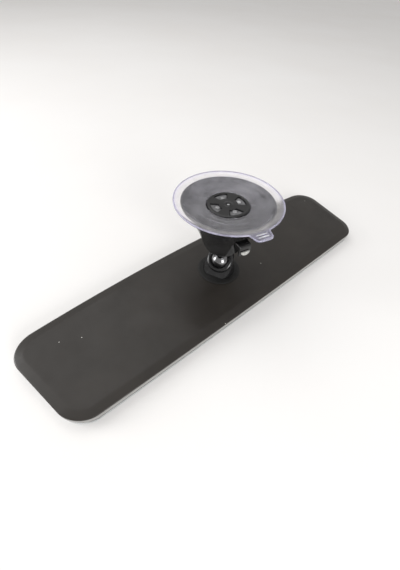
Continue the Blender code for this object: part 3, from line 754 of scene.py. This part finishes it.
def build_hub():
    ribs = [rib(35.6, 3.9, 0.45, 70.3, 71.0), rib(37.6, 3.7, 0.45, 70.3, 71.0)]
    piece("tab_ribs", merged(ribs), CLEAR_PLUG, "cup", sharp=60)

    body = rounded([(2.3, 63.4), (6.0, 63.4, 0.4), (7.0, 64.4, 0.5), (13.6, 64.9, 0.3),
                    (13.6, 66.9, 0.3), (13.0, 67.3, 0.3), (12.4, 67.3, 0.2), (12.2, 67.15, 0.2),
                    (3.2, 67.05, 0.4), (2.4, 67.3, 0.4), (1.2, 67.3, 0.2), (1.2, 66.3), (2.3, 66.3)],
                   closed=True)
    pockets = []
    plugs = []
    for k in range(4):
        turn = math.degrees(LEVER_AZ) + 90 * k
        wide = kidney(turn, 11.4, 26, 6.2, 23)
        pockets.append(lofted([(wide, 65.6), (wide, 68.5)]))
        at = arc(AXIS, 7.6, turn, turn, 1)[0]
        dome = rounded([(0, 65.9), (1.35, 65.9), (1.35, 66.75, 0.4), (1.0, 67.1, 0.3),
                        (0.45, 67.1, 0.2), (0.3, 66.85), (0, 66.8)])
        plugs.append(turned(dome, 40, at))
    piece("pad_hub_look", turned(body, 144, AXIS), GLOSS, "stem", ["pad_hub"],
          cutters=pockets, bevel=0.15, sharp=40)
    piece("hub_plugs", merged(plugs), CLEAR_PLUG, "stem", sharp=60)
    shelves = []
    for k in range(4):
        turn = math.degrees(LEVER_AZ) + 90 * k
        strip = kidney(turn, 11.3, 25.5, 6.3, 22)
        inner = kidney(turn, 10.9, 23.5, 6.8, 19)
        shelves.append(lofted([(strip, 65.65), (strip, 66.1), (inner, 66.45)]))
    piece("hub_windows", merged(shelves), SMOKED, "stem", sharp=40)

    shaft = rounded([(0, 54.0), (2.0, 54.0, 0.2), (2.0, 66.0, 0.2), (0.9, 66.1), (0.9, 67.0, 0.3),
                     (0, 67.05)])
    eye = rounded(arc((0, PIN.z), 3.8, -180, 0, 24) + [(3.8, 54.2, 0.8), (2.6, 55.4), (-2.6, 55.4),
                                                       (-3.8, 54.2, 0.8)], closed=True)
    hole = across_plate(arc((0, PIN.z), PIN_HOLE_R, 0, 350, 35), -3, 3)
    piece("draw_stem_look", turned(shaft, 48, AXIS), STEEL, "stem", ["draw_stem"])
    piece("stem_eye", across_plate(eye, -1.9, 1.9), STEEL, "stem", cutters=[hole],
          bevel=0.2)
    pin = across_plate(arc((0, PIN.z), PIN_R, 0, 350, 35), -4.4, 4.4)
    piece("lever_pin_look", pin, STEEL, "stem", ["lever_pin"], bevel=0.25, sharp=50)


def build_lever():
    top = PIN.z + 1.5
    low = PIN.z - 1.5
    cam = []
    cam_r, cam_lift = 4.0, 2.0
    for degrees in range(90, 151, 5):
        radius = cam_r + cam_lift * min(1.0, (degrees - 90) / 50)
        cam.append((radius * math.cos(math.radians(degrees)),
                    PIN.z + radius * math.sin(math.radians(degrees))))
    heel = arc((0, PIN.z), cam_r, 170, 325, 30)
    arm = rounded([(5.2, low), (20.5, low, 1.5), (23.0, low - 0.8, 1.2), (24.0, 48.0),
                   (24.05, 45.9, 0.3), (25.0, 45.9, 0.3), (25.05, top - 1.4, 1.2), (24.2, top, 0.8),
                   (5.6, top)])
    fork = across_plate([(-8.0, 44.0), (4.6, 44.0), (4.6, 60.0), (-8.0, 60.0)], -2.3, 2.3)
    hole = across_plate(arc((0, PIN.z), PIN_HOLE_R, 0, 350, 35), -6, 6)
    piece("lock_lever_look", across_plate(cam + heel + arm, -4.2, 4.2), GLOSS, "lever", ["lock_lever"],
          cutters=[fork, hole], bevel=0.9, sharp=40)

    bm = bmesh.new()
    rows = []
    half_width, depth, flat_top = 3.1, 2.9, 49.4
    for radial, shrink in ((25.25, 0.0), (25.9, 0.0), (26.15, 0.25), (26.28, 0.8), (26.3, 1.6)):
        row = []
        for degrees in range(180, 361, 6):
            angle = math.radians(degrees)
            sideways = (half_width - shrink) * math.cos(angle)
            z = flat_top - shrink * 0.4 + (depth - shrink) * math.sin(angle)
            row.append(bm.verts.new(mount_point(radial, sideways, z)))
        rows.append(row)
    for lower, upper in zip(rows, rows[1:]):
        bridge(bm, lower, upper)
    bm.faces.new(rows[0])
    bm.faces.new(rows[-1])
    piece("lever_grip_look", bm, GRIP, "lever", ["lever_grip"], sharp=50)


# --- parts inside the monitor ----------------------------------------------------------------------
def finish_inner_parts():
    """Gives the CAD parts that stay as they are their detailed materials."""
    by_material = {
        BOARD: ["main_board"],
        CHIP: ["video_chip", "memory_chip", "power_chip", "receiver_chip"],
        ALUMINIUM: ["capacitor_1", "capacitor_2", "capacitor_3"],
        CREAM: ["ribbon_connector"],
        AMBER: ["display_ribbon", "touch_key_strip"],
        PANEL: ["display_panel"],
        FOAM: ["display_gasket", "glass_tape"],
        STEEL: ["backlight_unit", "mount_backing_plate"]
               + [f"{kind}_screw_{n}" for kind in ("board", "mount") for n in (1, 2, 3, 4)],
    }
    for mat, names in by_material.items():
        for name in names:
            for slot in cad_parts[name].material_slots:
                slot.material = mat


# --- stage -----------------------------------------------------------------------------------------
def build_floor():
    mesh = bpy.data.meshes.new("floor")
    reach = 2.5
    level = -0.0002                      # just under the glass
    corners = [(-reach, -reach, level), (reach, -reach, level), (reach, reach, level),
               (-reach, reach, level)]
    mesh.from_pydata(corners, [], [(0, 1, 2, 3)])
    floor = bpy.data.objects.new("floor", mesh)
    bpy.context.scene.collection.objects.link(floor)
    mat, nodes, links, shader = new_material("floor_paper")
    where = object_mm(nodes, links)
    tone = spread(nodes, links, noise(nodes, links, where, 220.0), 0.0, 1.0)
    links.new(blend_colors(nodes, links, tone, (0.845, 0.83, 0.815), (0.865, 0.855, 0.845)),
              shader.inputs["Base Color"])
    shader.inputs["Roughness"].default_value = 0.75
    shader.inputs["Specular IOR Level"].default_value = 0.2
    mesh.materials.append(mat)


def area_light(name, azimuth, elevation, distance, size, power, size_y=None):
    """A soft panel that faces the origin, at these angles in degrees from it."""
    data = bpy.data.lights.new(name, "AREA")
    data.energy = power
    data.shape = "RECTANGLE"
    data.size = size
    data.size_y = size_y or size
    obj = bpy.data.objects.new(name, data)
    bpy.context.scene.collection.objects.link(obj)
    az = math.radians(azimuth)
    el = math.radians(elevation)
    toward = Vector((math.cos(el) * math.cos(az), math.cos(el) * math.sin(az), math.sin(el)))
    obj.location = toward * distance
    obj.rotation_euler = toward.to_track_quat("Z", "Y").to_euler()


def build_light():
    world = bpy.data.worlds.new("studio")
    bpy.context.scene.world = world
    world.use_nodes = True
    background = world.node_tree.nodes["Background"]
    background.inputs["Color"].default_value = (1.0, 0.99, 0.98, 1)
    background.inputs["Strength"].default_value = 0.6
    area_light("top_panel", azimuth=110, elevation=66, distance=1.1, size=1.2, power=5.6)
    area_light("far_panel", azimuth=142, elevation=14, distance=0.8, size=0.32, power=2.9,
               size_y=0.4)
    area_light("near_panel", azimuth=-102, elevation=18, distance=0.8, size=0.35, power=3.6,
               size_y=0.45)


def build_camera():
    cam = bpy.data.objects.new("camera", bpy.data.cameras.new("camera"))
    bpy.context.scene.collection.objects.link(cam)
    bpy.context.scene.camera = cam
    cam.data.sensor_width = 36
    cam.data.lens = 18.56
    cam.data.clip_start = 0.01
    azimuth = math.radians(-44.0507)
    elevation = math.radians(49.3652)
    roll = math.radians(5.0)
    distance = 0.2260
    target = Vector((-0.01673, 0.00316, 0))
    back = Vector((math.sin(azimuth) * math.cos(elevation), -math.cos(azimuth) * math.cos(elevation),
                   math.sin(elevation)))
    right = Vector((math.cos(azimuth), math.sin(azimuth), 0))
    up = back.cross(right)
    rolled_right = right * math.cos(roll) + up * math.sin(roll)
    rolled_up = up * math.cos(roll) - right * math.sin(roll)
    pose = Matrix((rolled_right, rolled_up, back)).transposed().to_4x4()
    pose.translation = target + back * distance
    cam.matrix_world = pose


build_monitor()
build_foot()
build_ball_and_neck()
build_housing()
build_pad()
build_hub()
build_lever()
finish_inner_parts()
build_floor()
build_light()
build_camera()
bpy.context.scene.view_settings.view_transform = "Standard"
